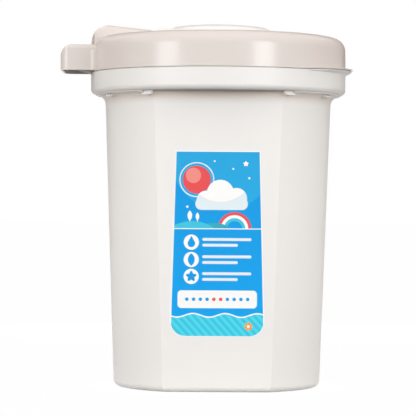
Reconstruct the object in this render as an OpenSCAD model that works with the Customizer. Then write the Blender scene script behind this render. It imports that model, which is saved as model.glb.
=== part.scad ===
// Nappy bin: a tall round tub with two flattened faces, a collar that clips onto
// it and carries the hinged lid, and a small round door in the lid's middle.
//
// Frame: origin on the floor under the tub's axis, +Z up. The hinge block lies
// at -X, the thumb lip at +X, and the labelled flat face looks along -Y.
// Lengths are millimetres, angles are degrees.

/* [Tub] */
// Height of the ledge that the collar sits on
tub_h = 357.4; // [280:0.2:440]
// Radius of the round wall where it meets the floor
tub_r_foot = 126.4; // [100:0.2:156]
// Radius of the round wall just below the flare
tub_r_top = 138.4; // [112:0.2:170]
// Thickness of the tub's wall
tub_wall = 2.6; // [1.6:0.1:4]
// Rounding between wall and base
foot_round = 8; // [4:0.5:16]
// How far each flat face is set in from the round wall at the foot
flat_in_foot = 17.4; // [8:0.2:26]
// How far each flat face is set in from the round wall at the ledge
flat_in_top = 22.4; // [10:0.2:30]
// Height of the neck that rises above the ledge, inside the collar
neck_h = 19.6; // [12:0.2:26]
// Radius of the hollow flare under the ledge
flare_r = 10.6; // [6:0.2:16]
// Lift of the middle of the base off the floor
base_lift = 4; // [2:0.5:8]
// Number of ribs under the base
base_ribs = 10; // [4:1:16]

/* [Collar] */
// How far the collar's wall stands outside the tub's wall
collar_over = 18.1; // [14:0.1:26]
// Height of the collar above the ledge
collar_h = 26.3; // [24:0.1:40]
// Wall of the collar, lid, liner and door
shell_wall = 2.4; // [1.6:0.1:3]
// Rounding of the collar's lower edge
collar_round = 6; // [2:0.5:8]
// Width of each snap hook
hook_w = 13; // [6:0.5:18]
// Places of the hooks on each side, turned from the middle of the flat face
hook_turns = [35, 63, 117, 145];

/* [Bag ring] */
// Room for the bag's film between ring and tub
bag_gap = 1.3; // [0.6:0.1:3]
// Depth of the ring's skirt below its flange
ring_skirt = 15; // [8:0.5:30]

/* [Lid] */
// Height of the lid from its lower edge to its flat top
lid_h = 43.1; // [35:0.1:58]
// Rounding of the lid's shoulder
lid_shoulder = 15.5; // [6:0.5:20]
// How far the thumb lip stands out of the lid
lip_out = 8.5; // [5:0.5:14]
// How far the thumb lip rises towards its tip
lip_rise = 3.2; // [0:0.2:6]
// Half of the angle that the thumb lip spans
lip_half = 52; // [25:1:70]
// Gap between lid and collar
seam_gap = 0.4; // [0.2:0.1:1]
// Depth of the liner's plate above the lid's lower edge
liner_up = 6; // [5:0.2:10]
// Number of screws that hold the liner
liner_screw_n = 6; // [3:1:8]

/* [Hinge block] */
// How far the block stands out of the lid
block_out = 35; // [30:0.2:48]
// Half width of the block
block_half = 46; // [36:1:60]
// Height of the block's top above the lid's lower edge
block_h = 32.3; // [28:0.1:38]
// Height of the block's underside above the lid's lower edge
block_up = 1.2; // [0:0.2:4]
// Rounding of the block's outer end, seen from the side
block_round = 15; // [6:0.5:16]
// Distance of the lid's pin from the lid's wall
pin_out = 19.2; // [17:0.2:24]
// Height of the lid's pin above the lid's lower edge
pin_up = 11.9; // [9:0.1:14]
// Radius of the lid's pin
lid_pin_r = 2.5; // [1.5:0.1:3.5]

/* [Hood] */
// Thickness of the hood's cheeks beside the door's knuckle
hood_cheek = 12.5; // [8:0.5:16]
// Rise of the hood's outer end above the lid's top
hood_rise = 12.8; // [10:0.2:20]
// Rounding of the hood's outer end
hood_round = 24; // [8:0.5:26]

/* [Door] */
// Radius of the door
door_r = 67; // [56:0.5:80]
// How far the door reaches past the edge of its opening
door_lap = 7; // [5:0.5:12]
// Height of the crown above the lid's top
door_crown = 16.3; // [12:0.1:22]
// Rounding of the door's shoulder
door_shoulder = 11; // [6:0.5:14]
// Distance of the door's pin from the door's edge
door_pin_out = 18; // [16:0.5:24]
// Radius of the door's pin
door_pin_r = 2; // [1.2:0.1:2.6]
// Half width of the door's knuckle
knuckle_half = 29.5; // [18:0.5:32]
// How far the bowl's wall is set in from the opening
bowl_in = 14; // [10:0.5:24]
// Depth of the bowl below the lid's top
bowl_depth = 37; // [26:0.5:44]
// Rounding between the bowl's wall and its floor
bowl_round = 14; // [8:0.5:18]
// Width of the flat rim round the deodoriser cap
cap_rim = 2; // [1:0.5:6]

/* [Label] */
// Width of the label's upper edge
label_top_w = 100; // [70:1:120]
// Width of the label's lower edge
label_foot_w = 112; // [70:1:124]
// Height of the label
label_h = 220; // [120:1:260]
// Height of the label's lower edge above the floor
label_z = 66; // [30:1:90]
// Rounding of the label's lower corners
label_round = 18; // [4:1:24]

/* [Hidden] */
$fn = 96;

white = [0.93, 0.92, 0.90];
beige = [0.84, 0.79, 0.75];
grey = [0.62, 0.62, 0.61];
steel = [0.75, 0.76, 0.78];
blue = [0.03, 0.60, 0.87];

play = 0.3;          // between pieces that move past each other
pin_play = 0.05;     // between a pin and its bore
fit = 0.5;           // between rings that push over each other

// Tub
z_flare = tub_h - flare_r - 1.8;
ledge_r = tub_r_top + collar_over - collar_round;
neck_r = tub_r_top + 3.1;
z_neck = tub_h + neck_h;
z_floor = base_lift + 3;
flat_d_foot = tub_r_foot - flat_in_foot;
flat_lean = (tub_r_top - flat_in_top - flat_d_foot) / tub_h;
flat_round = 7;
function wall_at(z) = tub_r_foot + (tub_r_top - tub_r_foot) * z / z_flare;
function flat_at(z) = flat_d_foot + flat_lean * z;

// Collar and bag ring
collar_r = tub_r_top + collar_over;
z_seam = tub_h + collar_h;
ring_r = neck_r - tub_wall - bag_gap;
ring_d = min(flat_at(z_neck) - bag_gap, flat_at(z_neck - ring_skirt) - 0.75 * bag_gap)
         - tub_wall;
ring_wall = 2.2;
mouth_in = ring_wall + 4;
hook_r = neck_r + 1.5;
hook_angles = [for (s = [-1, 1], t = hook_turns) -90 + s * t];

// Opening under the door, and what is centred on it
opening_r = door_r - door_lap;
bowl_r = opening_r - bowl_in;
hood_half = knuckle_half + hood_cheek;

// Lid
lid_r = collar_r + 0.5;
z_lid = z_seam + seam_gap;
z_top = z_lid + lid_h;
lip_c = (pow(lid_r + lip_out, 2) - lid_r * lid_r)
        / (2 * (lid_r + lip_out - lid_r * cos(lip_half)));
lip_rho = lid_r + lip_out - lip_c;
z_liner = z_lid + liner_up;
boss_ring = opening_r + 46;
pin_x = -(lid_r + pin_out);
pin_z = z_lid + pin_up;
boss_r = 6.2;
ear_y = [14, 23];
rib_y = [24, 30];
seal_r = [collar_r - 16.5, collar_r - 10.5];

// Door
recess = 1.5;
recess_r = door_r + 1.2;
dpin_x = -(door_r + door_pin_out);
dpin_z = z_top + 2.3;
knuckle_r = 5.2;
z_skirt = z_top - recess + 0.5;
z_crown = z_top + door_crown;
shoulder_x = door_r - door_shoulder;
crown_drop = 3.7;
crown_R = (shoulder_x * shoulder_x + crown_drop * crown_drop) / (2 * crown_drop);
shoulder_z = z_crown - crown_R
             + sqrt(pow(crown_R - door_shoulder, 2) - shoulder_x * shoulder_x);
z_flange = z_skirt + 2.6;
plug_r = opening_r - 2;
z_step = z_top - 6;
z_bowl = z_top - bowl_depth;
bowl_c = [bowl_r - 1 - bowl_round, z_bowl + bowl_round];
lug_a = 28;          // span of each lug on the deodoriser cap
door_screw_ring = (bowl_r + 1 + plug_r) / 2;
cap_r = bowl_c[0] - cap_rim;
hood_slope = atan((hood_rise - (dpin_z + 5.5 - z_top)) / (lid_r - hood_round + dpin_x));

// ---------------------------------------------------------------- helpers

// A profile drawn in (y, z), drawn out along X
module along_x(len) {
    rotate([90, 0, 90]) linear_extrude(len, center = true) children();
}

// A profile drawn in (x, z), drawn out along Y between two places
module along_y(y0, y1) {
    translate([0, y1, 0]) rotate([90, 0, 0]) linear_extrude(y1 - y0) children();
}

// A round disc with its front and back cut off flat
module flatted(r, d, h) {
    intersection() {
        cylinder(r = r, h = h);
        translate([-r - 1, -d, 0]) cube([2 * r + 2, 2 * d, h]);
    }
}

// A rectangle with all corners rounded
module rounded(x0, x1, y0, y1, r) {
    translate([x0 + r, y0]) square([x1 - x0 - 2 * r, y1 - y0]);
    translate([x0, y0 + r]) square([x1 - x0, y1 - y0 - 2 * r]);
    for (x = [x0 + r, x1 - r], y = [y0 + r, y1 - r]) translate([x, y]) circle(r);
}

// A bar with round ends of two sizes and straight tangent sides
module bar(a, ra, b, rb) {
    len = norm(b - a);
    dir = atan2(b[1] - a[1], b[0] - a[0]);
    t = acos((ra - rb) / len);
    translate(a) circle(ra);
    translate(b) circle(rb);
    polygon([a + ra * [cos(dir + t), sin(dir + t)], b + rb * [cos(dir + t), sin(dir + t)],
             b + rb * [cos(dir - t), sin(dir - t)], a + ra * [cos(dir - t), sin(dir - t)]]);
}

// The space between the tub's two flat faces, set in by a wall
module between_flats(inset, z0, round_r, z1) {
    c = flat_at(z0 + round_r) - inset - round_r;
    along_x(2 * collar_r + 20) {
        polygon([[-c, z0], [c, z0], [c + round_r, z0 + round_r], [flat_at(z1) - inset, z1],
                 [inset - flat_at(z1), z1], [-c - round_r, z0 + round_r]]);
        for (s = [-1, 1]) translate([s * c, z0 + round_r]) circle(round_r);
    }
}

// ---------------------------------------------------------------- the tub

module tub_outside() {
    foot_c = wall_at(foot_round) - foot_round;
    rotate_extrude() difference() {
        union() {
            polygon([[0, 0], [foot_c, 0], [foot_c + foot_round, foot_round],
                     [tub_r_top, z_flare], [tub_r_top + flare_r, z_flare],
                     [tub_r_top + flare_r, z_flare + flare_r], [ledge_r, tub_h - 1],
                     [ledge_r, tub_h], [neck_r, tub_h], [neck_r, z_neck - 1],
                     [neck_r - 1, z_neck], [0, z_neck]]);
            translate([foot_c, foot_round]) circle(foot_round);
        }
        translate([tub_r_top + flare_r, z_flare]) circle(flare_r);
        translate([-60, -1]) square([60, 2 * z_neck]);
    }
}

module tub_inside() {
    r = foot_round - tub_wall;
    c = wall_at(z_floor + r) - tub_wall - r;
    rotate_extrude() difference() {
        union() {
            polygon([[0, z_floor], [c, z_floor], [c + r, z_floor + r],
                     [tub_r_top - tub_wall, z_flare], [neck_r - tub_wall, tub_h],
                     [neck_r - tub_wall, z_neck + 1], [0, z_neck + 1]]);
            translate([c, z_floor + r]) circle(r);
        }
        translate([-60, 0]) square([60, 2 * z_neck]);
    }
}

module tub() {
    recess_r0 = flat_d_foot - flat_round - 6;
    color(white) difference() {
        intersection() {
            tub_outside();
            between_flats(0, 0, flat_round, z_neck + 5);
        }
        intersection() {
            tub_inside();
            between_flats(tub_wall, z_floor, flat_round - tub_wall, z_neck + 6);
        }
        // ribbed hollow under the base
        difference() {
            translate([0, 0, -1]) cylinder(r = recess_r0, h = base_lift + 1);
            cylinder(r = 12, h = base_lift);
            for (i = [0 : base_ribs - 1]) rotate([0, 0, i * 360 / base_ribs])
                translate([10, -1, 1]) cube([recess_r0 - 9, 2, base_lift]);
        }
        // slots in the ledge for the collar's hooks
        for (a = hook_angles) rotate([0, 0, a])
            translate([hook_r - 0.7, -hook_w / 2 - 0.6, z_flare + 2])
                cube([5, hook_w + 1.2, tub_h - z_flare]);
    }
}

// ---------------------------------------------------------------- collar

// The collar's wall, lower lip and outer web, as one turned section
module collar_section() {
    w = shell_wall;
    r0 = neck_r + 0.7;
    rotate_extrude() difference() {
        union() {
            polygon([[r0, tub_h], [collar_r - collar_round, tub_h],
                     [collar_r, tub_h + collar_round], [collar_r, z_seam - 1],
                     [collar_r - 1, z_seam], [r0, z_seam]]);
            translate([collar_r - collar_round, tub_h + collar_round]) circle(collar_round);
            // rib that centres the lid
            translate([collar_r - 7, z_seam - 1]) square([2, 4.2]);
        }
        translate([r0 - 1, tub_h + w]) square([collar_r - w - r0 + 1, collar_h - 2 * w]);
    }
}

module hinge_ear() {
    along_y(ear_y[0], ear_y[1])
        bar([pin_x, pin_z], boss_r, [-(collar_r - 3.9), z_seam + 1.6], 3.6);
}

module collar() {
    w = shell_wall;
    mr = ring_r - mouth_in;
    md = ring_d - mouth_in;
    z_lip = z_neck + shell_wall + 0.3;
    color(white) {
        difference() {
            union() {
                collar_section();
                // web over the bag ring, with a turned-down inner edge
                translate([0, 0, z_seam - w]) cylinder(r = neck_r + 3, h = w);
                translate([0, 0, z_lip]) flatted(mr + 2, md + 2, z_seam - w / 2 - z_lip);
                // wedge that follows the underside of the lid's thumb lip
                intersection() {
                    rotate_extrude() polygon([
                        [collar_r - 1.2, z_seam - 3], [collar_r, z_seam - 2],
                        [lid_r + lip_out - 1, z_seam + lip_rise - 1],
                        [lid_r + lip_out - 1, z_seam + lip_rise - 0.4],
                        [lid_r, z_seam - 0.1], [collar_r - 1.2, z_seam - 0.1]]);
                    translate([lip_c, 0, z_seam - 4]) cylinder(r = lip_rho - 1.4, h = 12);
                }
                for (s = [0, 1]) mirror([0, s, 0]) hinge_ear();
            }
            translate([0, 0, z_lip - 1]) flatted(mr, md, collar_h);
            along_y(-40, 40) translate([pin_x, pin_z]) circle(lid_pin_r);
        }
        for (a = hook_angles) rotate([0, 0, a]) translate([0, -hook_w / 2, 0]) {
            translate([hook_r, 0, tub_h - 5.2]) cube([2, hook_w, 5.2 + w]);
            translate([hook_r, 0, tub_h - 5.2]) cube([5.6, hook_w, 2]);
        }
    }
}

module bag_ring() {
    color(white) difference() {
        union() {
            translate([0, 0, z_neck]) flatted(neck_r, flat_at(z_neck), shell_wall);
            translate([0, 0, z_neck - ring_skirt]) flatted(ring_r, ring_d, ring_skirt + 1);
        }
        translate([0, 0, z_neck - ring_skirt - 1])
            flatted(ring_r - ring_wall, ring_d - ring_wall, ring_skirt + 10);
    }
}

module front_label() {
    lean = atan(flat_lean);
    a = label_top_w / 2;
    b = label_foot_w / 2;
    r = label_round;
    color(blue) translate([0, -flat_d_foot - 0.05, 0]) rotate([90 + lean, 0, 0])
        union() {
            linear_extrude(0.45) polygon([[-a, label_z + label_h], [a, label_z + label_h],
                [b, label_z + r], [b - r, label_z], [r - b, label_z], [-b, label_z + r]]);
            for (s = [-1, 1]) translate([s * (b - r), label_z + r, 0])
                cylinder(r = r, h = 0.45);
        }
}

// ---------------------------------------------------------------- lid

module lid_outside(w) {
    // w is the wall that is taken off, 0 for the outer form
    r = lid_shoulder - w;
    z0 = w > 0 ? z_lid - 5 : z_lid;
    c = lid_r - 0.6 - lid_shoulder;
    rotate_extrude() difference() {
        union() {
            polygon([[0, z0], [lid_r - w, z0], [c + r, z_top - lid_shoulder],
                     [c, z_top - w], [0, z_top - w]]);
            translate([c, z_top - lid_shoulder]) circle(r);
        }
        translate([-60, 0]) square([60, 2 * z_top]);
    }
}

// The hinge block: w is taken off its sides and top
module block(w) {
    x1 = -(lid_r + block_out) + w;
    h = block_half - w;
    r = block_round;
    zt = z_lid + block_h - w;
    z0 = w > 0 ? z_lid - 5 : z_lid + block_up;
    intersection() {
        along_y(-h, h) {
            polygon([[x1, z0], [x1, zt - r], [x1 + r, zt], [-lid_r + 12, zt],
                     [-lid_r + 12, z0]]);
            translate([x1 + r, zt - r]) circle(r);
        }
        along_x(4 * lid_r) {
            polygon([[-h, z0], [-h, zt - 6], [6 - h, zt], [h - 6, zt], [h, zt - 6], [h, z0]]);
            for (s = [-1, 1]) translate([s * (h - 6), zt - 6]) circle(6);
        }
        translate([0, 0, z0 - 1]) linear_extrude(block_h + 10) union() {
            translate([x1 + 11, -h]) square([lid_r, 2 * h]);
            translate([x1, 11 - h]) square([lid_r, 2 * h - 22]);
            for (s = [-1, 1]) translate([x1 + 11, s * (h - 11)]) circle(11);
        }
    }
}

// Hollow fillets where the block's sides run into the round wall
module block_fillets() {
    r = 8;
    cy = block_half + r;
    cx = sqrt(pow(lid_r + r, 2) - cy * cy);
    for (s = [0, 1]) mirror([0, s, 0]) translate([0, 0, z_lid + block_up])
        linear_extrude(block_h - block_up - 7) difference() {
            polygon([[-cx, block_half - 1], [-cx + 12, block_half - 6],
                     [-cx * lid_r / (lid_r + r) + 3, cy * lid_r / (lid_r + r) - 1],
                     [-cx * lid_r / (lid_r + r), cy * lid_r / (lid_r + r)], [-cx, cy]]);
            translate([-cx, cy]) circle(r);
        }
}

// The hood over the door's hinge: w is taken off its sides and top
module hood(w) {
    cx = -(lid_r - 0.8) + hood_round;
    cz = z_top + hood_rise - hood_round;
    intersection() {
        along_y(-hood_half + w, hood_half - w) {
            polygon([[cx - hood_round + w, z_top - 20], [cx - hood_round + w, cz],
                     [cx, cz + hood_round - w], [dpin_x, dpin_z + 5.5 - w],
                     [dpin_x, z_top - 20]]);
            translate([cx, cz]) circle(hood_round - w);
            if (w == 0) translate([dpin_x, dpin_z]) circle(5.5);
        }
        translate([dpin_x, 0, dpin_z + 5.5]) rotate([0, hood_slope, 0])
            along_x(3 * lid_r) {
                h = hood_half - w;
                polygon([[-h, -60], [-h, -9], [9 - h, -w], [h - 9, -w], [h, -9], [h, -60]]);
                for (s = [-1, 1]) translate([s * (h - 9 + w), -9]) circle(9 - w);
            }
        cylinder(r = lid_r - 0.7 - w, h = 2 * z_top);
        if (w > 0) translate([-2 * lid_r, -lid_r, 0])
            cube([2 * lid_r + dpin_x - 12.5, 2 * lid_r, 2 * z_top]);
    }
}

module lid_shell() {
    w = shell_wall;
    scoop = [opening_r + 28, 0, z_top + 21];
    color(beige) difference() {
        union() {
            difference() {
                union() {
                    lid_outside(0);
                    block(0);
                    block_fillets();
                    hood(0);
                    // thumb lip, which rises towards its tip
                    intersection() {
                        rotate_extrude() polygon([
                            [lid_r - 2, z_lid], [lid_r, z_lid],
                            [lid_r + lip_out - 0.8, z_lid + lip_rise],
                            [lid_r + lip_out + 1, z_lid + lip_rise + 0.9],
                            [lid_r + lip_out + 1, z_lid + lip_rise + 1.5],
                            [lid_r, z_lid + 2.6], [lid_r - 2, z_lid + 2.6]]);
                        translate([lip_c, 0, z_lid - 1]) cylinder(r = lip_rho, h = 12);
                    }
                }
                difference() {
                    union() {
                        lid_outside(w);
                        hood(w);
                    }
                    // backing of the opening's rim, the finger scoop and the knuckle's trough
                    translate([0, 0, z_top - 13]) cylinder(r = opening_r + w, h = 20);
                    translate([0, 0, z_top - recess - w]) cylinder(r = recess_r + 2, h = 10);
                    intersection() {
                        translate(scoop) sphere(30 + w);
                        translate([0, -50, z_top - 40]) cube([lid_r, 100, 40]);
                    }
                    intersection() {
                        along_y(-knuckle_half - 3.5, knuckle_half + 3.5)
                            translate([dpin_x, dpin_z]) circle(knuckle_r + 1 + w);
                        translate([dpin_x - 30, -50, z_top - 30]) cube([60, 100, 30]);
                    }
                    // solid cheeks that hold the door's pin
                    for (s = [0, 1]) mirror([0, s, 0])
                        translate([dpin_x - 9, knuckle_half + 1.1, z_top - w])
                            cube([30, hood_half, 20]);
                }
                block(w);
            }
            // ribs with bosses for the lid's pin, hung from the block's roof
            for (s = [0, 1]) mirror([0, s, 0]) along_y(rib_y[0], rib_y[1]) {
                translate([pin_x, pin_z]) circle(boss_r);
                polygon([[pin_x - boss_r, pin_z], [pin_x + boss_r, pin_z],
                         [pin_x + boss_r + 6, z_lid + block_h - 1.2],
                         [pin_x - boss_r + 4, z_lid + block_h - 1.2]]);
            }
            // the round wall behind the block
            intersection() {
                difference() {
                    lid_outside(0);
                    lid_outside(w);
                }
                translate([-lid_r - 5, -block_half, z_lid])
                    cube([20, 2 * block_half, block_h - 1]);
            }
            // screw bosses
            for (i = [0 : liner_screw_n - 1]) rotate([0, 0, (i + 0.5) * 360 / liner_screw_n])
                translate([boss_ring, 0, z_liner + w])
                    cylinder(r = 4.2, h = z_top - z_liner - 1.5 * w);
        }
        // the opening and the recess round it
        translate([0, 0, z_top - 60]) cylinder(r = opening_r, h = 80);
        translate([0, 0, z_top - recess]) cylinder(r = recess_r, h = 3.6);
        translate(scoop) sphere(30);
        // room for the door's knuckle and tongue
        along_y(-knuckle_half - 0.6, knuckle_half + 0.6)
            translate([dpin_x, dpin_z]) circle(knuckle_r + 1);
        translate([dpin_x - 9.5, -knuckle_half - 0.6, z_top])
            cube([40, 2 * knuckle_half + 1.2, 30]);
        along_y(-hood_half + 2, hood_half - 2) translate([dpin_x, dpin_z]) circle(door_pin_r);
        along_y(-40, 40) translate([pin_x, pin_z]) circle(lid_pin_r);
        // window for the collar's ears
        translate([-lid_r - 3, -rib_y[0] + 0.4, z_lid - 1])
            cube([12, 2 * rib_y[0] - 0.8, pin_up + 12]);
        for (i = [0 : liner_screw_n - 1]) rotate([0, 0, (i + 0.5) * 360 / liner_screw_n])
            translate([boss_ring, 0, z_liner]) cylinder(r = 1.4, h = 16);
    }
}

module lid_liner() {
    w = shell_wall;
    r_out = lid_r - w - 1.6;
    color(white) difference() {
        union() {
            rotate_extrude() {
                translate([opening_r + w + fit, z_liner])
                    square([r_out - opening_r - w - fit, w]);
                translate([opening_r + w + fit, z_liner])
                    square([w, z_top - recess - w - 2.6 - z_liner]);
                translate([r_out - w, z_liner]) square([w, 9]);
                // two low ribs that hold the seal
                translate([seal_r[0] - 1.7, z_liner - 3]) square([1.4, 4]);
                translate([seal_r[1] + 0.3, z_liner - 3]) square([1.4, 4]);
            }
            // stiffening ribs on the underside, cut away round the screw heads
            difference() {
                for (i = [0 : 11]) rotate([0, 0, i * 30 + 15])
                    translate([opening_r + w + 1, -0.9, z_liner - 2])
                        cube([seal_r[0] - opening_r - w - 2, 1.8, 3]);
                for (i = [0 : liner_screw_n - 1])
                    rotate([0, 0, (i + 0.5) * 360 / liner_screw_n])
                        translate([boss_ring, 0, z_liner - 3]) cylinder(r = 4.4, h = 3);
            }
        }
        // notch for the collar's ears
        translate([-lid_r, -rib_y[0] + 0.4, z_liner - 1])
            cube([lid_r - seal_r[1] - 2.4, 2 * rib_y[0] - 0.8, 20]);
        for (i = [0 : liner_screw_n - 1]) rotate([0, 0, (i + 0.5) * 360 / liner_screw_n])
            translate([boss_ring, 0, z_liner - 3]) cylinder(r = 1.8, h = 10);
    }
}

// Soft ring with a hollow-backed lip that meets the collar's top
module lid_seal() {
    m = (seal_r[0] + seal_r[1]) / 2;
    z0 = z_seam + play;
    color(grey) rotate_extrude() {
        translate([seal_r[0], z_liner - 3.2]) square([seal_r[1] - seal_r[0], 3.2]);
        translate([m, z0 + 2]) circle(2);
        translate([m - 1.6, z0 + 2]) square([3.2, z_liner - z0 - 4]);
    }
}

// Pan-head screw, head below z = 0, shank upwards
module screw(head_r, shank_r, len) {
    translate([0, 0, -2.2]) difference() {
        union() {
            cylinder(r = head_r, h = 1.2);
            translate([0, 0, 1.2]) cylinder(r1 = head_r, r2 = head_r - 0.2, h = 1);
        }
        for (a = [0, 90]) rotate([0, 0, a]) translate([-2, -0.4, -0.1]) cube([4, 0.8, 1.1]);
    }
    cylinder(r = shank_r, h = len);
}

module liner_screws() {
    color(steel) for (i = [0 : liner_screw_n - 1])
        rotate([0, 0, (i + 0.5) * 360 / liner_screw_n])
            translate([boss_ring, 0, z_liner]) screw(3.6, 1.35, 14);
}

module lid_hinge_pin() {
    color(steel) along_y(-rib_y[1], rib_y[1])
        translate([pin_x, pin_z]) circle(lid_pin_r - pin_play);
}

// ---------------------------------------------------------------- door

module dome(w) {
    z0 = w > 0 ? z_skirt - 5 : z_skirt;
    t = asin(shoulder_x / (crown_R - door_shoulder));
    rotate_extrude() {
        translate([0, z0]) square([door_r - w, shoulder_z - z0]);
        intersection() {
            union() {
                translate([shoulder_x, shoulder_z]) circle(door_shoulder - w);
                intersection() {
                    translate([0, z_crown - crown_R]) circle(crown_R - w, $fn = 720);
                    translate([0, z0])
                        square([shoulder_x + (door_shoulder - w) * sin(t), 60]);
                }
            }
            translate([0, z0]) square([door_r, 60]);
        }
    }
}

module door_cover() {
    w = shell_wall;
    zt = z_crown - crown_drop;
    color(white) difference() {
        union() {
            difference() {
                union() {
                    dome(0);
                    // tongue that runs back to the hinge
                    along_y(-knuckle_half, knuckle_half) {
                        translate([dpin_x, dpin_z]) circle(knuckle_r);
                        polygon([[dpin_x, dpin_z + knuckle_r], [dpin_x + 7, dpin_z + knuckle_r],
                                 [dpin_x + 11, zt - 2.2], [dpin_x + 14, zt - 0.3],
                                 [8 - shoulder_x, zt - 1], [8 - shoulder_x, z_top + 0.6],
                                 [dpin_x, z_top + 0.6]]);
                    }
                    // finger tab over the scoop
                    translate([0, 0, z_top + 1]) linear_extrude(2.6)
                        rounded(door_r - 12, door_r + 9, -14, 14, 7);
                }
                dome(w);
            }
            // screw posts
            intersection() {
                for (i = [0 : 2]) rotate([0, 0, i * 120])
                    translate([door_screw_ring, 0, z_step + w])
                        cylinder(r = 3.2, h = 40);
                dome(w / 2);
            }
        }
        along_y(-60, 60) translate([dpin_x, dpin_z]) circle(door_pin_r);
        for (i = [0 : 2]) rotate([0, 0, i * 120])
            translate([door_screw_ring, 0, z_step]) cylinder(r = 1.2, h = 14);
    }
}

// The bowl: a flange under the door, a step that fills the opening, and a
// rounded bowl below it with a round hole for the deodoriser cap
module door_plug() {
    w = 2.2;
    color(white) difference() {
        rotate_extrude() difference() {
            union() {
                translate([0, z_flange]) square([door_r - shell_wall - 0.6, w]);
                translate([0, z_step]) square([plug_r, z_flange - z_step + 0.1]);
                polygon([[0, z_bowl], [bowl_c[0], z_bowl], [bowl_r - 1, bowl_c[1]],
                         [bowl_r + 1, z_step + 0.1], [0, z_step + 0.1]]);
                translate(bowl_c) circle(bowl_round);
            }
            polygon([[0, z_bowl + w], [bowl_c[0], z_bowl + w],
                     [bowl_r - 1 - w, bowl_c[1]], [bowl_r + 1 - w, z_step + w],
                     [plug_r - w, z_step + w], [plug_r - w, z_top + 20], [0, z_top + 20]]);
            translate(bowl_c) circle(bowl_round - w);
            translate([-60, 0]) square([60, 2 * z_top]);
        }
        // hole for the deodoriser cap, with three notches for its lugs
        translate([0, 0, z_bowl - 1]) cylinder(r = cap_r - 5, h = 8);
        for (i = [0 : 2]) rotate([0, 0, i * 120 + 60 - lug_a / 2 - 3])
            rotate_extrude(angle = lug_a + 6) translate([cap_r - 8, z_bowl - 1])
                square([6.2, 8]);
        for (i = [0 : 2]) rotate([0, 0, i * 120])
            translate([door_screw_ring, 0, z_step - 1]) cylinder(r = 1.6, h = 6);
    }
}

module door_seal() {
    m = (opening_r + door_r - shell_wall) / 2 + 0.2;
    color(grey) rotate_extrude() {
        translate([m - 1.5, z_flange - 1.4]) square([3, 1.4]);
        translate([m, z_flange - 1.3]) circle(1.3);
    }
}

module door_screws() {
    color(steel) for (i = [0 : 2]) rotate([0, 0, i * 120])
        translate([door_screw_ring, 0, z_step]) screw(3, 1.15, 11);
}

module door_hinge_pin() {
    color(steel) along_y(-hood_half + 2.4, hood_half - 2.4)
        translate([dpin_x, dpin_z]) circle(door_pin_r - pin_play);
}

// Twist-off cap with slots, held by three lugs in the hole in the bowl's floor
module deodoriser_cap() {
    z1 = z_bowl - play;
    ring_out = cap_r - 5 - play;
    color(white) difference() {
        union() {
            translate([0, 0, z1 - 2]) cylinder(r = cap_r - 1, h = 2);
            translate([0, 0, z1 - 1]) rotate_extrude() translate([cap_r - 1, 0]) circle(1);
            translate([0, 0, z1 - 0.5]) cylinder(r = ring_out, h = 7);
            for (i = [0 : 2]) rotate([0, 0, i * 120 - lug_a / 2])
                rotate_extrude(angle = lug_a)
                    translate([ring_out - 1, z_bowl + 2.2 + play]) square([3.6, 2]);
            // grip bar across the cap
            translate([0, 0, z1 - 7]) linear_extrude(6) rounded(-13, 13, -1.6, 1.6, 1.5);
        }
        translate([0, 0, z1]) cylinder(r = ring_out - 1.8, h = 10);
        for (i = [0 : 11]) rotate([0, 0, i * 30 + 15])
            translate([14.5, 0, z1 - 3]) linear_extrude(8) rounded(0, 5, -1.1, 1.1, 1);
    }
}

module deodoriser_disc() {
    color(grey) translate([0, 0, z_bowl - play]) cylinder(r = cap_r - 5 - play - 2.3, h = 5);
}

tub();
collar();
bag_ring();
front_label();
lid_shell();
lid_liner();
lid_seal();
liner_screws();
lid_hinge_pin();
door_cover();
door_plug();
door_seal();
door_screws();
door_hinge_pin();
deodoriser_disc();
deodoriser_cap();
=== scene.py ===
"""Nappy bin: the finish of a moulded nursery bin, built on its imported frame.

Lengths are metres in the frame of the model: +Z up, the labelled flat face
looks along -Y, and the hinge block lies at -X.
"""

import math

import bmesh
import bpy
from mathutils import Matrix, Vector


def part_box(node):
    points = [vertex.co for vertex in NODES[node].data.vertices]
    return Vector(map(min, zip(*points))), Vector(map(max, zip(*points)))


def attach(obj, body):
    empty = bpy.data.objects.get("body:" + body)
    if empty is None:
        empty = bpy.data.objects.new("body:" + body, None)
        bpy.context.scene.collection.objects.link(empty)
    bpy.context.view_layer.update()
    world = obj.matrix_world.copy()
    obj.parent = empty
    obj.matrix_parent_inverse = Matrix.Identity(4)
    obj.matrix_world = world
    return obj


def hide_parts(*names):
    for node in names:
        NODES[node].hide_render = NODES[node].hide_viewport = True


bl_info = {
    "name": "Nappy Bin",
    "version": (1, 0, 0),
    "blender": (4, 5, 0),
    "location": "View3D > Sidebar > Nappy Bin",
    "description": "Finishes a nappy bin with a hinged lid and a round flip door",
    "category": "Object",
}

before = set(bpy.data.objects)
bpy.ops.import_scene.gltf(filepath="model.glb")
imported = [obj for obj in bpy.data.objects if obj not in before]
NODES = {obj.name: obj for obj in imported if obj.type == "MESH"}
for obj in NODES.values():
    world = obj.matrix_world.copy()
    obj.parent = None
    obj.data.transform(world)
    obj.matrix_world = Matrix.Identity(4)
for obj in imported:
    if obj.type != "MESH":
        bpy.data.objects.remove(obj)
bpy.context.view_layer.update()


# ------------------------------------------------------------------ shader sums


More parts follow.
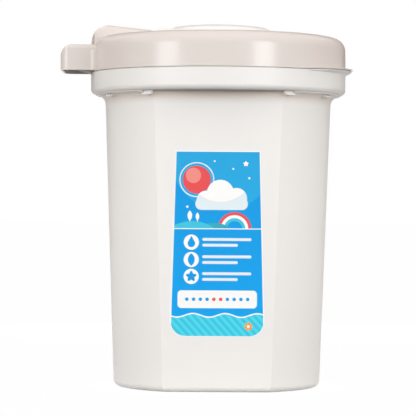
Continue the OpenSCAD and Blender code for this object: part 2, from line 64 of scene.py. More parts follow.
class Value:
    """One output of a shader node, for use in plain Python sums."""

    def __init__(self, shader, socket):
        self.shader = shader
        self.socket = socket

    def __getitem__(self, name):
        return Value(self.shader, self.socket.node.outputs[name])

    def math(self, operation, *others):
        return self.shader.node("Math", {"operation": operation}, self, *others)

    def __add__(self, other):
        return self.math("ADD", other)

    def __radd__(self, other):
        return self.math("ADD", other)

    def __sub__(self, other):
        return self.math("SUBTRACT", other)

    def __rsub__(self, other):
        return self.shader.node("Math", {"operation": "SUBTRACT"}, other, self)

    def __mul__(self, other):
        return self.math("MULTIPLY", other)

    def __rmul__(self, other):
        return self.math("MULTIPLY", other)

    def __truediv__(self, other):
        return self.math("DIVIDE", other)

    def __rtruediv__(self, other):
        return self.shader.node("Math", {"operation": "DIVIDE"}, other, self)

    def __neg__(self):
        return self.math("MULTIPLY", -1.0)

    def __abs__(self):
        return self.math("ABSOLUTE")

    def __pow__(self, other):
        return self.math("POWER", other)

    def __rpow__(self, other):
        return self.shader.node("Math", {"operation": "POWER"}, other, self)

    def least(self, other):
        return self.math("MINIMUM", other)

    def most(self, other):
        return self.math("MAXIMUM", other)

    def sin(self):
        return self.math("SINE")

    def root(self):
        return self.math("SQRT")

    def held(self):
        """The value kept between 0 and 1."""
        return self.shader.node("Clamp", {}, self)


class Tree:
    """A tree of shader nodes that grows with each call."""

    def __init__(self, tree):
        self.tree = tree

    def node(self, kind, settings, *values, **named):
        """Adds a node: its settings come first, then the values of its sockets."""
        node = self.tree.nodes.new("ShaderNode" + kind)
        for key, value in settings.items():
            setattr(node, key, value)
        sockets = list(zip(node.inputs, values))
        sockets += [(node.inputs[k.replace("_", " ")], v) for k, v in named.items()]
        for socket, value in sockets:
            if isinstance(value, Value):
                self.tree.links.new(value.socket, socket)
            elif value is not None:
                socket.default_value = value
        shown = [s for s in node.outputs if s.enabled]
        return Value(self, shown[0]) if shown else node

    def seen(self):
        """1 for what the eye and clear or shiny faces see, and 0 for soft light."""
        path = self.node("LightPath", {})
        mirrored = path["Is Glossy Ray"].most(path["Is Transmission Ray"])
        return path["Is Camera Ray"].most(mirrored)


class Shader(Tree):
    """A material's node tree with a Principled surface."""

    def __init__(self, name):
        self.material = bpy.data.materials.new(name)
        self.material.use_nodes = True
        super().__init__(self.material.node_tree)
        self.surface = self.tree.nodes["Principled BSDF"]
        where = self.node("TexCoord", {})
        self.place = where["Object"]
        parts = self.node("SeparateXYZ", {}, self.place)
        self.x, self.y, self.z = parts["X"], parts["Y"], parts["Z"]

    def colour(self, factor, low, high):
        """Blends two colours."""
        kind = {"data_type": "RGBA", "clamp_factor": True}
        node = self.node("Mix", kind).socket.node
        inputs = [s for s in node.inputs if s.enabled]
        for socket, value in zip(inputs, (factor, low, high)):
            if isinstance(value, Value):
                self.tree.links.new(value.socket, socket)
            elif isinstance(value, float):
                socket.default_value = value
            else:
                socket.default_value = (*value[:3], 1)
        return Value(self, next(s for s in node.outputs if s.enabled))

    def noise(self, per_metre, detail=2.0, roughness=0.5):
        return self.node("TexNoise", {}, self.place, None, per_metre, detail, roughness)

    def bump(self, height, distance, under=None):
        return self.node("Bump", {}, Strength=1.0, Distance=distance, Height=height, Normal=under)

    def finish(self, **values):
        """Sets the surface's sockets, by value or by link."""
        for name, value in values.items():
            socket = self.surface.inputs[name.replace("_", " ")]
            if isinstance(value, Value):
                self.tree.links.new(value.socket, socket)
            elif isinstance(value, tuple) and len(value) == 3:
                socket.default_value = (*value, 1)
            else:
                socket.default_value = value
        return self.material


def tint(colour, by):
    """A colour made lighter or darker."""
    return tuple(max(0.0, min(1.0, c * by)) for c in colour[:3])


# --------------------------------------------------------------------- finishes


# heights in metres round the recess between the tub and its collar, where shade is painted on the
# tub and the collar
SHADE_START = 0.342
TUB_LEDGE = 0.3585
COLLAR_SILL = 0.3785


def outwards(s):
    """How much a face looks away from the bin's axis, below 0 where it looks in."""
    way = s.node("SeparateXYZ", {}, s.node("NewGeometry", {})["Normal"])
    per_metre = 8.0  # one over the bin's radius at the recess, about
    return (way["X"] * s.x + way["Y"] * s.y) * per_metre


def shade_under_ledge(s):
    """The mask of the painted shade on the tub: its outer face where it runs up into the recess
    under its ledge.
    """
    fade_in, fade_out = 0.012, 0.001
    above = ((s.z - SHADE_START) / fade_in).held()
    below = ((TUB_LEDGE - s.z) / fade_out).held()
    return above * below * outwards(s).held()


def shade_inside_collar(s):
    """The mask of the painted shade on the collar: its faces round the recess, which look inwards
    or down.
    """
    fade, still_inwards = 0.002, 0.3
    below = ((COLLAR_SILL - s.z) / fade).held()
    return (still_inwards - outwards(s)).held() * below


def moulded_plastic(name, colour, roughness, grain, depth, wave=0.00012, recess=None, shade_tone=None):
    """Injection-moulded plastic: an even tone, a faint fine grain from the
    mould's face and slow hollows where the wall has shrunk. The grain is given
    per metre, and its depth and the hollows' wave in metres. Recess is a mask
    of the faces where shade is painted: there the tone gives way to a warmer,
    darker colour that stands in for the shade in the recess under the collar."""
    s = Shader(name)
    cloud = s.noise(9.0, 2.0)
    flow = s.noise(38.0, 3.0, 0.6)
    mix = cloud * 0.65 + flow * 0.35
    base = s.colour(((mix - 0.3) * 2.5).held(), tint(colour, 0.992), tint(colour, 1.006))
    # painted shade: on the faces of the recess mask the base colour gives way to the warmer, darker
    # shade colour
    if recess:
        base = s.colour(recess(s), base, shade_tone)
    fine = s.noise(grain, 3.0, 0.62)
    slow = s.noise(16.0, 1.0)
    hollow = s.bump(slow, wave)
    normal = s.bump(fine, depth, under=hollow)
    rough = roughness + (s.noise(60.0, 2.0) - 0.5) * 0.06
    return s.finish(Base_Color=base, Roughness=rough.held(), Normal=normal)


def soft_seal(name, colour):
    """Soft grey sealing rubber with a powdery bloom."""
    s = Shader(name)
    bloom = s.noise(160.0, 4.0, 0.6)
    base = s.colour(((bloom - 0.35) * 3.0).held(), tint(colour, 0.86), tint(colour, 1.12))
    normal = s.bump(s.noise(2600.0, 2.0), 0.00002)
    return s.finish(Base_Color=base, Roughness=(0.62 + bloom * 0.2).held(), Normal=normal)


def turned_steel(name, colour):
    """Plated steel wire and screws, with fine drawing marks."""
    s = Shader(name)
    marks = s.noise(5200.0, 3.0, 0.7)
    blot = s.noise(240.0, 2.0)
    base = s.colour(blot, tint(colour, 0.85), tint(colour, 1.1))
    return s.finish(
        Base_Color=base,
        Metallic=1.0,
        Roughness=(0.26 + marks * 0.14 + blot * 0.08).held(),
        Normal=s.bump(marks, 0.000012),
    )


def pressed_fibre(name, colour):
    """The deodoriser's pad: dark pressed fibre with paler grains."""
    s = Shader(name)
    grain = s.node("TexVoronoi", {"feature": "F1"}, Vector=s.place, Scale=620.0)
    fibre = s.noise(1500.0, 5.0, 0.75)
    mix = (grain["Distance"] * 1.1 + fibre * 0.6 - 0.35).held()
    base = s.colour(mix, tint(colour, 0.55), tint(colour, 1.9))
    normal = s.bump(fibre, 0.00035, under=s.bump(grain["Distance"], 0.0005))
    return s.finish(Base_Color=base, Roughness=0.93, Normal=normal)


class Print:
    """Masks of flat shapes for a printed label, in millimetres across and up."""

    EDGE = 0.35  # width of the soft edge round each shape

    def __init__(self, shader):
        self.u = shader.x * 1000.0
        self.v = shader.z * 1000.0

    def inside(self, distance):
        """1 where the distance to an outline is below 0."""
        return (0.5 - distance / self.EDGE).held()

    def away(self, u, v):
        return ((self.u - u) ** 2.0 + (self.v - v) ** 2.0).root()

    def disc(self, u, v, r):
        return self.inside(self.away(u, v) - r)

    def ring(self, u, v, r, width):
        return self.inside(abs(self.away(u, v) - r) - width / 2)

    def panel(self, u, v, half_w, half_h, r):
        """A rectangle with round corners."""
        a = abs(self.u - u) - (half_w - r)
        b = abs(self.v - v) - (half_h - r)
        out = (a.most(0.0) ** 2.0 + b.most(0.0) ** 2.0).root()
        return self.inside(out + a.most(b).least(0.0) - r)

    def leaf(self, u, v, half, bulge):
        """Two arcs that meet in points above and below."""
        r = (half * half + bulge * bulge) / (2 * bulge)
        return self.disc(u - r + bulge, v, r) * self.disc(u + r - bulge, v, r)

    def drop(self, u, v, r):
        """A round drop with its point above."""
        rise = self.v - v
        width = (2.1 * r - rise) * 0.55
        cone = self.inside(abs(self.u - u) - width) * self.inside(-rise + 0.15 * r)
        return self.disc(u, v, r).most(cone * self.inside(rise - 2.1 * r))

    def flower(self, u, v, r, petals):
        turn = (self.v - v).math("ARCTAN2", self.u - u)
        wave = (turn * float(petals)).sin() * (0.24 * r) + r
        return self.inside(self.away(u, v) - wave)


def any_of(*masks):
    out = masks[0]
    for mask in masks[1:]:
        out = out.most(mask)
    return out


PAPER = (0.93, 0.94, 0.94)


def print_sky(s, art, p, tone, high):
    """A paler sky with a round brow, a sun in a thin ring, a cloud and stars."""
    tone = s.colour(art.disc(6.0, high - 8.0, 62.0) * 0.30, tone, p.foot_tone)
    u, v = -25.0, high - 34.0
    tone = s.colour(art.ring(u, v, 20.0, 1.3) * 0.8, tone, PAPER)
    sun = art.disc(u, v, 16.5)
    tone = s.colour(sun, tone, p.accent)
    shine = art.disc(u - 4.0, v + 5.0, 9.0) * sun
    tone = s.colour(shine * 0.28, tone, (1.0, 0.75, 0.62))
    cloud = any_of(
        art.disc(-14.0, high - 58.0, 11.0),
        art.disc(3.0, high - 50.0, 16.0),
        art.disc(22.0, high - 56.0, 12.5),
        art.panel(4.5, high - 62.5, 31.0, 7.2, 7.0),
    )
    lit = art.disc(3.0, high - 20.0, 40.0)
    tone = s.colour(cloud, tone, s.colour(lit, (0.74, 0.84, 0.89), PAPER))
    stars = any_of(
        art.flower(33.0, high - 15.0, 2.6, 5),
        art.disc(18.0, high - 21.0, 1.1),
        art.disc(37.0, high - 32.0, 1.3),
        art.disc(-4.0, high - 12.0, 1.1),
        art.disc(-36.0, high - 66.0, 1.3),
    )
    return s.colour(stars, tone, PAPER)


def print_hills(s, art, p, tone, ground, line):
    """A rainbow and two hills with leaf trees, on a thin line over the ground."""
    for r, band in ((18.0, p.accent), (14.4, PAPER), (10.8, p.foot_tone)):
        tone = s.colour(art.ring(20.0, line, r, 3.6), tone, band)
    trees = any_of(
        art.leaf(-33.0, line + 15.5, 6.0, 2.7),
        art.leaf(-24.0, line + 14.5, 4.6, 2.1),
        art.panel(-33.0, line + 8.0, 0.5, 3.0, 0.4),
        art.panel(-24.0, line + 8.0, 0.5, 3.0, 0.4),
    )
    tone = s.colour(trees, tone, PAPER)
    tone = s.colour(art.disc(-4.0, line - 27.0, 34.0), tone, tint(p.foot_tone, 0.72))
    tone = s.colour(art.disc(-30.0, line - 37.0, 46.0), tone, p.foot_tone)
    tone = s.colour(art.inside(art.v - line), tone, ground)
    return s.colour(art.panel(0.0, line, 60.0, 0.55, 0.5), tone, PAPER)


def print_roundels(s, art, p, tone):
    """A drop, a leaf and a flower on white discs, with two blank bars beside each."""
    column, heights = -31.0, (178.0, 157.5, 137.5)
    shapes = (
        art.drop(column, heights[0] - 1.5, 4.4),
        art.leaf(column, heights[1], 7.4, 4.0),
        art.flower(column, heights[2], 5.2, 5),
    )
    for height, shape in zip(heights, shapes):
        tone = s.colour(art.disc(column, height, 9.0), tone, PAPER)
        tone = s.colour(shape, tone, p.ground)
        bars = any_of(
            art.panel(11.0, height + 3.4, 29.0, 1.7, 1.6),
            art.panel(3.0, height - 3.4, 21.0, 1.7, 1.6),
        )
        tone = s.colour(bars * 0.82, tone, PAPER)
    return tone


def print_card(s, art, p, tone):
    """A pale card with a row of dots, the middle two of them in the accent."""
    height, step = 110.5, 8.0
    tone = s.colour(art.panel(0.0, height, 47.0, 10.5, 4.5), tone, PAPER)
    across = (art.u / step).math("FRACT") * step - step / 2
    dot = art.inside((across ** 2.0 + (art.v - height) ** 2.0).root() - 2.1)
    row = art.panel(0.0, height, 5 * step, 6.0, 1.0)
    middle = art.panel(0.0, height, step, 6.0, 1.0)
    return s.colour(dot * row, tone, s.colour(middle, p.ground, p.accent))


def print_foot(s, art, p, tone):
    """A striped foot under a waved white edge, and one small flower on it."""
    wave = (art.u * (2 * math.pi / 38.0)).sin() * 2.2 + p.band * 1000
    slant = (art.u + art.v * 0.9) / 9.0
    stripes = art.inside((abs(slant.math("FRACT") - 0.5) - 0.26) * 9.0)
    band = s.colour(stripes * 0.55, p.foot_tone, tint(p.foot_tone, 1.5))
    tone = s.colour(art.inside(art.v - wave), tone, band)
    tone = s.colour(art.inside(abs(art.v - wave) - 0.8), tone, PAPER)
    u, v = 37.0, 78.5
    tone = s.colour(art.flower(u, v, 4.6, 6), tone, p.bloom)
    return s.colour(art.disc(u, v, 1.7), tone, PAPER)


def print_margin(s, art, p, tone, low, high):
    """A thin white margin that follows the label's outline."""
    margin, corner_zone = 1.0, 30.0
    slope = (p.foot_half - p.top_half) / (p.head - p.foot)
    half = p.top_half * 1000 + (high - art.v) * slope
    sides = art.inside(abs(art.u) - half + margin)
    top = art.inside(art.v - high + margin)
    half_w, half_h = p.foot_half * 1000, 2 * corner_zone
    corner = p.corner * 1000 - margin
    foot = art.panel(0.0, low + half_h, half_w - margin, half_h - margin, corner)
    above = art.inside(low + corner_zone - art.v)
    return s.colour(sides * top * any_of(foot, above), PAPER, tone)


def label_print(name, p):
    """A nursery label of plain shapes: a sky over hills, three roundels, a pale
    card and a striped foot, printed on a film that isn't quite flat."""
    s = Shader(name)
    art = Print(s)
    low, high = p.foot * 1000, p.head * 1000
    rise = ((art.v - low) / (high - low)).held()
    ground = s.colour(rise, tint(p.ground, 1.12), tint(p.ground, 0.94))
    tone = print_sky(s, art, p, ground, high)
    tone = print_hills(s, art, p, tone, ground, p.line * 1000)
    tone = print_roundels(s, art, p, tone)
    tone = print_card(s, art, p, tone)
    tone = print_foot(s, art, p, tone)
    tone = print_margin(s, art, p, tone, low, high)
    screen = s.noise(5200.0, 1.0)
    tone = s.colour((screen - 0.4).held() * 0.10, tone, (0.0, 0.0, 0.0))
    normal = s.bump(s.noise(55.0, 2.0), 0.00016)
    rough = 0.30 + s.noise(300.0, 2.0) * 0.12
    return s.finish(Base_Color=tone, Roughness=rough, Normal=normal, Specular_IOR_Level=0.2)


def dress(node, material):
    """Gives a node of the frame its finish."""
    mesh = NODES[node].data
    mesh.materials.clear()
    mesh.materials.append(material)


# --------------------------------------------------------------------- settings


def colour_of(name, about, value):
    return bpy.props.FloatVectorProperty(
        name=name, description=about, subtype="COLOR", size=3, min=0, max=1, default=value
    )


def length_of(name, about, value):
    return bpy.props.FloatProperty(
        name=name, description=about, subtype="DISTANCE", unit="LENGTH", default=value
    )


def share_of(name, about, value):
    return bpy.props.FloatProperty(
        name=name, description=about, subtype="FACTOR", min=0, max=1, default=value
    )


class PlasticSettings(bpy.types.PropertyGroup):
    """Colours and gloss of the moulded pieces."""

    pail: colour_of("Pail", "Warm white of the tub, collar and ring", (0.832, 0.818, 0.806))
    pail_rough: share_of("Pail roughness", "Roughness of the tub's mould grain", 0.46)
    # painted shade: the warm, darker colour painted on the tub and the collar in the recess under
    # the collar, where the collar's overhang throws shade
    recess: colour_of("Recess", "Warmer tone of the recess under the collar", (0.80, 0.71, 0.635))
    lid: colour_of("Lid", "Pinkish beige of the lid", (0.685, 0.627, 0.597))
    lid_rough: share_of("Lid roughness", "Roughness of the lid", 0.2)
    door: colour_of("Door", "White of the door and its bowl", (0.79, 0.778, 0.76))
    door_rough: share_of("Door roughness", "Roughness of the door", 0.3)
    seal: colour_of("Seals", "Grey of the soft rings", (0.34, 0.34, 0.335))
    steel: colour_of("Steel", "Colour of the pins and screws", (0.62, 0.62, 0.61))
    pad: colour_of("Pad", "Dark tone of the deodoriser's pad", (0.10, 0.105, 0.105))


class LabelSettings(bpy.types.PropertyGroup):
    """Sizes and colours of the printed label."""

    ground: colour_of("Ground", "Blue ground of the label", (0.0, 0.335, 0.80))
    accent: colour_of("Accent", "Coral of the sun and the middle dots", (0.80, 0.085, 0.09))
    foot_tone: colour_of("Foot", "Aqua of the striped foot", (0.05, 0.55, 0.75))
    bloom: colour_of("Bloom", "Orange of the small flower", (0.90, 0.36, 0.04))
    foot: length_of("Foot edge", "Height of the label's lower edge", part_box("front_label")[0].z)
    head: length_of("Head edge", "Height of the label's upper edge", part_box("front_label")[1].z)
    line: length_of("Line", "Height of the line that the hills stand on", 0.194)
    band: length_of("Band", "Height of the striped foot's waved edge", 0.0915)
    top_half: length_of("Half head", "Half of the width at the head", 0.05)
    foot_half: length_of("Half foot", "Half of the width at the foot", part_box("front_label")[1].x)
    corner: length_of("Corner", "Rounding of the lower corners", 0.018)


class ScrewSettings(bpy.types.PropertyGroup):
    """Sizes of the screws that hold the liner and the bowl."""

    head: length_of("Head radius", "Radius of the liner screws' heads", 0.0036)
    rise: length_of("Head height", "Height of the heads", 0.0022)
    pitch: length_of("Pitch", "Distance between two turns of the thread", 0.0011)
    sides: bpy.props.IntProperty(
        name="Sides", description="Points round one turn of the thread", default=20
    )


class StudioSettings(bpy.types.PropertyGroup):
    """Camera, lamps, surroundings and floor."""

    distance: length_of("Distance", "Camera distance from the bin's axis", 2.75)
    height: length_of("Height", "Camera height above the floor", 0.2185)
    offset: length_of("Offset", "Camera shift to the left of the axis", 0.0116)
    span: length_of("Span", "Width of the picture at the bin's axis", 0.5129)
    roll: bpy.props.FloatProperty(
        name="Roll", description="Turn about the line of sight", subtype="ANGLE",
        default=math.radians(0.35),
    )
    box_power: bpy.props.FloatProperty(
        name="Softboxes", description="Power of the right softbox; the left has nine tenths",
        unit="POWER", default=4.7,
    )
    back_power: bpy.props.FloatProperty(
        name="Back light", description="Power of the softbox behind", unit="POWER", default=6.0
    )
    top_power: bpy.props.FloatProperty(
        name="Top light", description="Power of the light above", unit="POWER", default=1.0
    )
    ambient: bpy.props.FloatProperty(
        name="Surroundings", description="Strength of the even light all round", default=3.45
    )
    floor: share_of("Floor", "How much of the light the floor throws back", 0.2)


def settings(context):
    scene = context.scene
    return (
        scene.nappy_bin_plastic,
        scene.nappy_bin_label,
        scene.nappy_bin_screws,
        scene.nappy_bin_studio,
    )


# ---------------------------------------------------------------------- pieces


class NAPPYBIN_OT_pail(bpy.types.Operator):
    """Finish the tub, its collar and the bag ring in warm white, with shade painted in the recess
    under the collar
    """

    bl_idname = "nappybin.pail"
    bl_label = "Pail"

    def execute(self, context):
        p = settings(context)[0]
        # the tub and the collar get shade painted in the recess under the collar
        matt = moulded_plastic(
            "tub_plastic", p.pail, p.pail_rough, 900.0, 0.00003, 0.00012, shade_under_ledge, p.recess
        )
        dress("tub", matt)
        # painted shade: the collar takes the tub's white darkened to 0.95, to offset the brighter
        # light that falls on it
        satin = moulded_plastic(
            "collar_plastic", tint(p.pail, 0.95), p.pail_rough - 0.06, 1200.0, 0.00002, 0.00006,
            shade_inside_collar, p.recess,
        )
        dress("collar", satin)
        ring = moulded_plastic("ring_plastic", tint(p.pail, 0.95), p.pail_rough, 1200.0, 0.00002)
        dress("bag_ring", ring)
        return {"FINISHED"}


class NAPPYBIN_OT_label(bpy.types.Operator):
    """Print the label on the front flat face"""

    bl_idname = "nappybin.label"
    bl_label = "Label"

    def execute(self, context):
        dress("front_label", label_print("label_film", settings(context)[1]))
        return {"FINISHED"}


class NAPPYBIN_OT_lid(bpy.types.Operator):
    """Finish the lid's beige shell and its white liner"""

    bl_idname = "nappybin.lid"
    bl_label = "Lid"

    def execute(self, context):
        p = settings(context)[0]
        shell = moulded_plastic("lid_plastic", p.lid, p.lid_rough, 1500.0, 0.000012, 0.00005)
        dress("lid_shell", shell)
        liner = moulded_plastic("liner_plastic", p.pail, p.pail_rough, 1000.0, 0.00002)
        dress("lid_liner", liner)
        return {"FINISHED"}


class NAPPYBIN_OT_door(bpy.types.Operator):
    """Finish the door, its bowl and the deodoriser's cap and pad"""

    bl_idname = "nappybin.door"
    bl_label = "Door"

    def execute(self, context):
        p = settings(context)[0]
        gloss = moulded_plastic("door_plastic", p.door, p.door_rough, 1500.0, 0.000012, 0.00004)
        for node in ("door_cover", "door_plug", "deodoriser_cap"):
            dress(node, gloss)
        dress("deodoriser_disc", pressed_fibre("pressed_pad", p.pad))
        return {"FINISHED"}


class NAPPYBIN_OT_seals(bpy.types.Operator):
    """Finish the soft rings under the lid and the door"""

    bl_idname = "nappybin.seals"
    bl_label = "Seals"

    def execute(self, context):
        rubber = soft_seal("seal_rubber", settings(context)[0].seal)
        dress("lid_seal", rubber)
        dress("door_seal", rubber)
        return {"FINISHED"}


class NAPPYBIN_OT_pins(bpy.types.Operator):
    """Finish the two hinge pins"""

    bl_idname = "nappybin.pins"
    bl_label = "Hinge pins"

    def execute(self, context):
        steel = turned_steel("pin_steel", settings(context)[0].steel)
        dress("lid_hinge_pin", steel)
        dress("door_hinge_pin", steel)
        return {"FINISHED"}


def screw_mesh(head_r, rise, shank_r, length, pitch, sides):
    """One pan-head screw with a cross recess, its head below z = 0 and its
    threaded shank above."""
    bm = bmesh.new()

    def circle(r, z, n):
        return [
            bm.verts.new((r * math.cos(2 * math.pi * i / n), r * math.sin(2 * math.pi * i / n), z))
            for i in range(n)
        ]

    def skin(a, b):
        n = len(a)
        for i in range(n):
            bm.faces.new((a[i], a[(i + 1) % n], b[(i + 1) % n], b[i]))

    def step_down(wide, fine):
        """Joins a ring to one inside it that has half as many points."""
        n = len(fine)
        for i in range(n):
            a, b, c = wide[2 * i], wide[2 * i + 1], wide[(2 * i + 2) % (2 * n)]
            near, far = fine[i], fine[(i + 1) % n]
            for triangle in ((a, b, near), (b, far, near), (b, c, far)):
                bm.faces.new(triangle)

    def cross(arm, slit, z):
        points = [
            (arm, -slit), (arm, slit), (slit, slit), (slit, arm), (-slit, arm), (-slit, slit),
            (-arm, slit), (-arm, -slit), (-slit, -slit), (-slit, -arm), (slit, -arm), (slit, -slit),
        ]
        return [bm.verts.new((x, y, z)) for x, y in points]

    # the head's outline from under it to its flat top, in shares of its radius and rise
    outline = ((0.36, 0.0), (1.0, 0.02), (1.0, 0.35), (0.96, 0.62), (0.84, 0.86), (0.68, 1.0))
    rims = [circle(r * head_r, -z * rise, 2 * sides) for r, z in outline]
    for a, b in zip(rims, rims[1:]):
        skin(a, b)
    arm, slit = 0.50 * head_r, 0.12 * head_r
    mouth = cross(arm, slit, -rise)
    floor = cross(arm * 0.62, slit * 0.7, -rise * 0.35)
    skin(mouth, floor)
    bm.faces.new(floor)
    edges = []
    for loop in (rims[-1], mouth):
        for a, b in zip(loop, loop[1:] + loop[:1]):
            edges.append(bm.edges.get((a, b)) or bm.edges.new((a, b)))
    bmesh.ops.triangle_fill(bm, use_beauty=True, edges=edges)
    # shank with a helical thread and a blunt point
    root = shank_r * 0.78
    point = length * 0.82
    last = None
    for ring in range(int(length / (pitch / 4)) + 1):
        z = ring * pitch / 4
        taper = 1.0 if z < point else max(0.25, 1 - (z - point) / (length * 0.22))
        points = []
        for i in range(sides):
            turn = i / sides
            phase = (z / pitch - turn) % 1.0
            tooth = max(0.0, 1 - abs(phase - 0.5) * 4) if z > pitch else 0.0
            r = (root + (shank_r - root) * tooth) * taper
            angle = 2 * math.pi * turn
            points.append(bm.verts.new((r * math.cos(angle), r * math.sin(angle), z)))
        if last:
            skin(last, points)
        else:
            step_down(rims[0], points)
        last = points
    bm.faces.new(last)
    bmesh.ops.recalc_face_normals(bm, faces=bm.faces)
    mesh = bpy.data.meshes.new("screw")
    bm.to_mesh(mesh)
    bm.free()
    return mesh


def ring_of_screws(name, mesh, count, radius, height, turn, material):
    """Sets copies of one screw on a ring with Geometry Nodes, as a plain mesh."""
    tree = bpy.data.node_groups.new("Ring of Screws", "GeometryNodeTree")
    face = tree.interface
    for label, kind in (
        ("Screw", "Geometry"),
        ("Count", "Int"),
        ("Radius", "Float"),
        ("Height", "Float"),
        ("Turn", "Float"),
        ("Finish", "Material"),
    ):
        face.new_socket(label, in_out="INPUT", socket_type="NodeSocket" + kind)
    face.new_socket("Screws", in_out="OUTPUT", socket_type="NodeSocketGeometry")
    add = tree.nodes.new
    link = tree.links.new
    given, out = add("NodeGroupInput"), add("NodeGroupOutput")
    circle = add("GeometryNodeMeshCircle")
    link(given.outputs["Count"], circle.inputs["Vertices"])
    link(given.outputs["Radius"], circle.inputs["Radius"])
    place = add("GeometryNodeInstanceOnPoints")
    link(circle.outputs["Mesh"], place.inputs["Points"])
    link(given.outputs["Screw"], place.inputs["Instance"])
    lift = add("ShaderNodeCombineXYZ")
    link(given.outputs["Height"], lift.inputs["Z"])
    around = add("ShaderNodeCombineXYZ")
    link(given.outputs["Turn"], around.inputs["Z"])
    move = add("GeometryNodeTransform")
    real = add("GeometryNodeRealizeInstances")
    link(place.outputs["Instances"], real.inputs["Geometry"])
    link(real.outputs["Geometry"], move.inputs["Geometry"])
    link(lift.outputs["Vector"], move.inputs["Translation"])
    link(around.outputs["Vector"], move.inputs["Rotation"])
    coat = add("GeometryNodeSetMaterial")
    link(move.outputs["Geometry"], coat.inputs["Geometry"])
    link(given.outputs["Finish"], coat.inputs["Material"])
    link(coat.outputs["Geometry"], out.inputs["Screws"])
    maker = bpy.data.objects.new(name + "_maker", mesh)
    bpy.context.scene.collection.objects.link(maker)
    modifier = maker.modifiers.new("Ring", "NODES")
    modifier.node_group = tree
    values = {"Count": count, "Radius": radius, "Height": height, "Turn": turn, "Finish": material}
    for item in face.items_tree:
        if item.in_out == "INPUT" and item.name in values:
            modifier[item.identifier] = values[item.name]
    return plain_mesh(maker, name)


def plain_mesh(maker, name):
    """Turns an object with live modifiers into a plain mesh object."""
    graph = bpy.context.evaluated_depsgraph_get()
    mesh = bpy.data.meshes.new_from_object(maker.evaluated_get(graph))
    mesh.name = name
    piece = bpy.data.objects.new(name, mesh)
    bpy.context.scene.collection.objects.link(piece)
    bpy.data.objects.remove(maker)
    return piece


class NAPPYBIN_OT_screws(bpy.types.Operator):
    """Make the threaded screws of the liner and the bowl"""

    bl_idname = "nappybin.screws"
    bl_label = "Screws"

    def execute(self, context):
        p, _, q, _ = settings(context)
        steel = turned_steel("screw_steel", p.steel)
        tip_gap = 0.0002  # from a screw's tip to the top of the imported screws
        for node, body, count, head, shank in (
            ("liner_screws", "lid", 6, q.head, 0.00135),
            ("door_screws", "door", 3, q.head * 5 / 6, 0.00115),
        ):
            low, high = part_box(node)
            seat = low.z + q.rise
            if node == "liner_screws":
                ring = high.y - head
                turn = math.pi / count
            else:
                ring = high.x - head
                turn = 0.0
            mesh = screw_mesh(head, q.rise, shank, high.z - seat - tip_gap, q.pitch, q.sides)
            piece = ring_of_screws(node + "_threaded", mesh, count, ring, seat, turn, steel)
            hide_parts(node)
            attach(piece, body)
        return {"FINISHED"}


# ----------------------------------------------------------------------- stage


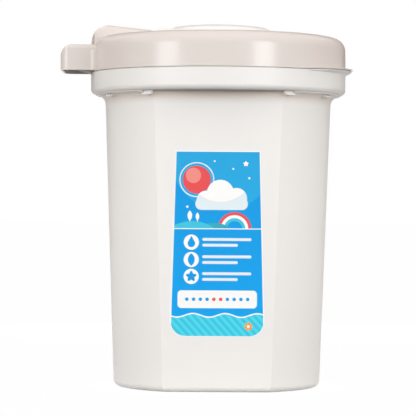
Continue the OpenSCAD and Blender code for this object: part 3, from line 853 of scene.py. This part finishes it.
class NAPPYBIN_OT_stage(bpy.types.Operator):
    """Set up the floor, the soft lamps and the camera"""

    bl_idname = "nappybin.stage"
    bl_label = "Stage"

    def execute(self, context):
        q = settings(context)[3]
        scene = context.scene
        self.floor(q)
        self.surroundings(scene, q)
        self.lamps(q)
        self.cards()
        self.camera(scene, q)
        scene.view_settings.view_transform = "Standard"
        return {"FINISHED"}

    def floor(self, q):
        """A pale floor that looks nearly white and throws little light back,
        but for a ring close round the bin's foot."""
        just_under, half = -0.0002, 30.0
        ring_r, ring_fade, ring_share = 0.165, 0.03, 0.42
        glow_power, glow_share = 1.145, 0.84
        mesh = bpy.data.meshes.new("floor")
        bm = bmesh.new()
        bmesh.ops.create_grid(bm, x_segments=1, y_segments=1, size=half)
        bm.to_mesh(mesh)
        bm.free()
        floor = bpy.data.objects.new("floor", mesh)
        bpy.context.scene.collection.objects.link(floor)
        floor.location.z = just_under
        material = bpy.data.materials.new("pale_floor")
        material.use_nodes = True
        material.node_tree.nodes.clear()
        tree = Tree(material.node_tree)
        spot = tree.node("SeparateXYZ", {}, tree.node("TexCoord", {})["Object"])
        away = (spot["X"] ** 2.0 + spot["Y"] ** 2.0).root()
        near = ((ring_r - away) / ring_fade).held()
        wide, ring = (
            tree.node("BsdfDiffuse", {}, (share, share, share, 1))
            for share in (q.floor, ring_share)
        )
        matt = tree.node("MixShader", {}, near, wide, ring)
        glow = tree.node("Emission", {}, (1, 1, 1, 1), glow_power)
        mix = tree.node("MixShader", {}, tree.seen() * glow_share, matt, glow)
        tree.node("OutputMaterial", {}, mix)
        mesh.materials.append(material)

    def surroundings(self, scene, q):
        """Even light that is strongest low down, all round the bin."""
        world = bpy.data.worlds.new("studio_white")
        scene.world = world
        world.use_nodes = True
        world.node_tree.nodes.clear()
        tree = Tree(world.node_tree)
        up = tree.node("SeparateXYZ", {}, tree.node("TexCoord", {})["Generated"])["Z"]
        # top and fade are sines of the angle over the floor, least the share above
        top, fade, least = 0.28, 0.2, 0.25
        band = ((top - up) / fade).held() * (1 - least) + least
        fill = tree.node("Background", {}, (1.0, 0.965, 0.93, 1), band * q.ambient)
        white = tree.node("Background", {}, (1, 1, 1, 1), 1.0)
        tree.node("OutputWorld", {}, tree.node("MixShader", {}, tree.seen(), fill, white))

    def lamps(self, q):
        """Cool soft lamps that look level at the bin's axis, and one from above. A
        row gives the turn in degrees, the distance from the axis, the height, the
        lamp's width and tallness, and its power."""
        cool, left_share = (0.93, 0.975, 1.0), 0.9
        aim = Vector((0, 0, 0.32))
        for name, turn, reach, height, width, tall, power in (
            ("softbox_left", -44, 1.6, 0.58, 0.56, 0.46, q.box_power * left_share),
            ("softbox_right", 39, 1.6, 0.58, 0.52, 0.46, q.box_power),
            ("softbox_behind", 180, 1.5, 0.26, 0.4, 0.4, q.back_power),
            ("light_above", 8, 0.7, 2.0, 1.8, 1.8, q.top_power),
        ):
            data = bpy.data.lights.new(name, "AREA")
            data.shape = "RECTANGLE"
            data.size, data.size_y, data.energy = width, tall, power
            data.color = cool
            lamp = bpy.data.objects.new(name, data)
            lamp.visible_camera = False
            bpy.context.scene.collection.objects.link(lamp)
            a = math.radians(turn)
            lamp.location = (reach * math.sin(a), -reach * math.cos(a), height)
            target = aim if name == "light_above" else Vector((0, 0, height))
            lamp.rotation_euler = (target - lamp.location).to_track_quat("-Z", "Y").to_euler()

    def cards(self):
        """Upright cards that give the bin's edges their tone: pale ones beside it
        at the lid's height and over it, dark ones low down, behind and above. The
        camera doesn't see them, and they cast no shadow."""
        tones = {"grey_card": (0.17, 0.13, 0.105), "pale_card": (0.6, 0.53, 0.48)}
        dark, pale = (
            Shader(name).finish(Base_Color=tone, Roughness=0.9) for name, tone in tones.items()
        )
        for name, material, low, high in (
            ("card_left", pale, (-1.0, -0.1, 0.33), (-1.0, 1.6, 1.03)),
            ("card_right", pale, (1.0, -0.1, 0.33), (1.0, 1.6, 1.03)),
            ("card_left_low", dark, (-1.0, -0.1, 0.0), (-1.0, 1.59, 0.14)),
            ("card_right_low", dark, (1.0, -0.1, 0.0), (1.0, 1.59, 0.14)),
            ("card_left_behind", dark, (-1.15, 1.6, 0.0), (-0.52, 1.6, 1.0)),
            ("card_right_behind", dark, (0.52, 1.6, 0.0), (1.15, 1.6, 1.0)),
            ("card_above", dark, (-1.15, 1.6, 1.0), (1.15, 1.6, 2.6)),
        ):
            (x0, y0, z0), (x1, y1, z1) = low, high
            corners_round = [(x0, y0, z0), (x1, y1, z0), (x1, y1, z1), (x0, y0, z1)]
            mesh = bpy.data.meshes.new(name)
            mesh.from_pydata(corners_round, [], [(0, 1, 2, 3)])
            mesh.materials.append(material)
            card = bpy.data.objects.new(name, mesh)
            bpy.context.scene.collection.objects.link(card)
            card.visible_camera = False
            card.visible_shadow = False

    def camera(self, scene, q):
        """The photograph's view: level, from the label's side, turned a little."""
        sensor = 36.0
        data = bpy.data.cameras.new("camera")
        data.sensor_width = sensor
        data.lens = sensor * q.distance / q.span
        data.clip_end = 60.0
        camera = bpy.data.objects.new("camera", data)
        scene.collection.objects.link(camera)
        camera.location = (-q.offset, -q.distance, q.height)
        turn = Matrix.Rotation(math.pi / 2, 4, "X") @ Matrix.Rotation(q.roll, 4, "Z")
        camera.rotation_euler = turn.to_euler()
        scene.camera = camera


class NAPPYBIN_PT_panel(bpy.types.Panel):
    """Buttons for the bin's pieces"""

    bl_idname = "NAPPYBIN_PT_panel"
    bl_label = "Nappy Bin"
    bl_space_type = "VIEW_3D"
    bl_region_type = "UI"
    bl_category = "Nappy Bin"

    def draw(self, context):
        layout = self.layout
        for group in settings(context):
            box = layout.box()
            for name in group.__annotations__:
                box.prop(group, name)
        for name in PIECES:
            layout.operator("nappybin." + name)


PIECES = ("stage", "pail", "label", "lid", "door", "seals", "pins", "screws")
GROUPS = {
    "nappy_bin_plastic": PlasticSettings,
    "nappy_bin_label": LabelSettings,
    "nappy_bin_screws": ScrewSettings,
    "nappy_bin_studio": StudioSettings,
}
CLASSES = (
    *GROUPS.values(),
    NAPPYBIN_OT_stage,
    NAPPYBIN_OT_pail,
    NAPPYBIN_OT_label,
    NAPPYBIN_OT_lid,
    NAPPYBIN_OT_door,
    NAPPYBIN_OT_seals,
    NAPPYBIN_OT_pins,
    NAPPYBIN_OT_screws,
    NAPPYBIN_PT_panel,
)


def register():
    for kind in CLASSES:
        bpy.utils.register_class(kind)
    for name, group in GROUPS.items():
        setattr(bpy.types.Scene, name, bpy.props.PointerProperty(type=group))


def unregister():
    for name in GROUPS:
        delattr(bpy.types.Scene, name)
    for kind in reversed(CLASSES):
        bpy.utils.unregister_class(kind)


def main():
    register()
    for name in PIECES:
        getattr(bpy.ops.nappybin, name)()


if __name__ == "__main__":
    main()
